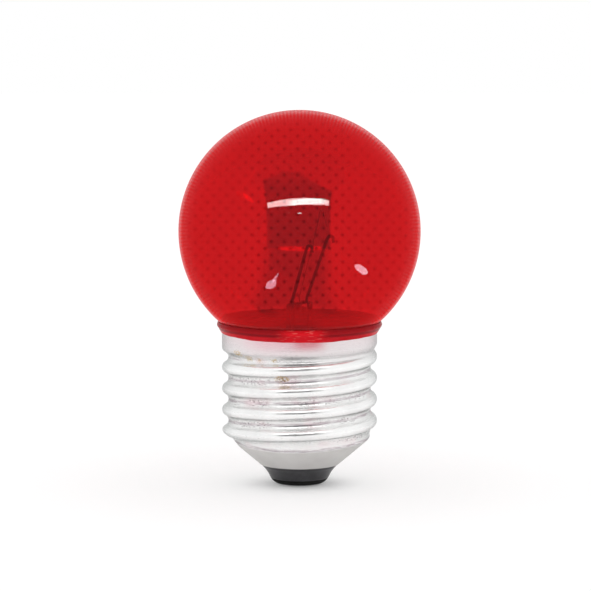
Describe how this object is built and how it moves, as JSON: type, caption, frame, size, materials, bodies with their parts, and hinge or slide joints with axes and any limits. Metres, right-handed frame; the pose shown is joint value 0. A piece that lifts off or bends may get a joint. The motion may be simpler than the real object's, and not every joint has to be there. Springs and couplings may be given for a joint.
{
  "type": "filament light bulb",
  "caption": "Small round see-through red filament lamp with an aluminium screw cap, black glass insulator and centre contact.",
  "frame": {"origin": "the flat tip of the centre contact, on the lamp's axis", "axes": "+Z along the axis from the contact to the top of the globe; -Y is the side that the picture shows; +X is to its right"},
  "size_m": [0.0408, 0.0408, 0.0635],
  "materials": {
    "red_glass": "clear glass under a transparent red lacquer, glossy",
    "red_lacquer": "thick transparent red lacquer, glossy",
    "cap_aluminium": "rolled aluminium, satin with polished crests, matte cone",
    "black_glass": "moulded black glass, satin",
    "dark_contact": "darkened sheet metal",
    "solder": "dull grey solder",
    "cement": "baked basing cement, matte",
    "clear_glass": "clear lead glass",
    "seal_wire": "copper-clad wire, red-brown in the glass",
    "nickel_wire": "nickel-plated wire",
    "copper_wire": "bare copper wire",
    "fuse_wire": "thin bare wire",
    "tungsten": "dark grey coiled wire",
    "molybdenum": "thin bright wire"
  },
  "bodies": {
    "root": {"glass_envelope": "red_glass", "lacquer_bead": "red_lacquer", "cap_shell": "cap_aluminium", "cap_insulator": "black_glass", "contact_plate": "dark_contact", "contact_solder": "solder", "side_solder": "solder", "basing_cement": "cement", "stem_flare": "clear_glass", "exhaust_tube": "clear_glass", "left_seal_wire": "seal_wire", "right_seal_wire": "seal_wire", "left_inner_lead": "nickel_wire", "right_inner_lead": "nickel_wire", "side_lead": "copper_wire", "centre_lead": "copper_wire", "fuse_wire": "fuse_wire", "filament": "tungsten", "filament_support": "molybdenum"}
  },
  "joints": []
}
